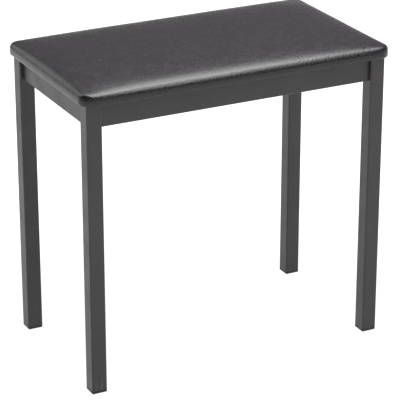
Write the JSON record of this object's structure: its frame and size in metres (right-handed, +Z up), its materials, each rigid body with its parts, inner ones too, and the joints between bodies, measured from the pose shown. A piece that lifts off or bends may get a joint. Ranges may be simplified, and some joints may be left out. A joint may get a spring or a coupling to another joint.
{
  "type": "padded piano bench",
  "caption": "Low backless bench with straight square steel legs, recessed rails under the seat and a thin padded black vinyl seat.",
  "frame": {"origin": "on the floor, under the middle of the seat", "axes": "+X to the sitter's left-to-right length of the seat, to the right seen from the front; +Y to the back; +Z up"},
  "size_m": [0.5258, 0.2978, 0.496],
  "materials": {
    "frame_coat": "black satin powder coat",
    "black_plastic": "moulded black plastic",
    "black_fasteners": "black oxide fasteners",
    "zinc": "zinc-plated steel",
    "staple_wire": "bright galvanised wire",
    "plywood": "bare plywood",
    "foam": "open-cell foam",
    "vinyl": "black grained vinyl, semi-gloss",
    "dust_cloth": "thin black non-woven cloth"
  },
  "bodies": {
    "root": {"leg_front_left": "frame_coat", "leg_front_right": "frame_coat", "leg_rear_left": "frame_coat", "leg_rear_right": "frame_coat", "end_rail_left": "frame_coat", "end_rail_right": "frame_coat", "front_rail": "frame_coat", "rear_rail": "frame_coat", "corner_gusset_front_left": "frame_coat", "corner_gusset_front_right": "frame_coat", "corner_gusset_rear_left": "frame_coat", "corner_gusset_rear_right": "frame_coat", "foot_plug_front_left": "black_plastic", "foot_plug_front_right": "black_plastic", "foot_plug_rear_left": "black_plastic", "foot_plug_rear_right": "black_plastic", "leg_top_caps": "black_plastic", "weld_beads": "frame_coat", "rail_spigots": "frame_coat", "rivet_nuts": "zinc", "frame_bolts": "black_fasteners", "frame_washers": "black_fasteners", "seat_bolts": "black_fasteners", "seat_washers": "black_fasteners", "tee_nuts": "zinc", "seat_board": "plywood", "foam_pad": "foam", "vinyl_cover": "vinyl", "dust_cover": "dust_cloth", "cover_staples": "staple_wire"}
  },
  "joints": []
}
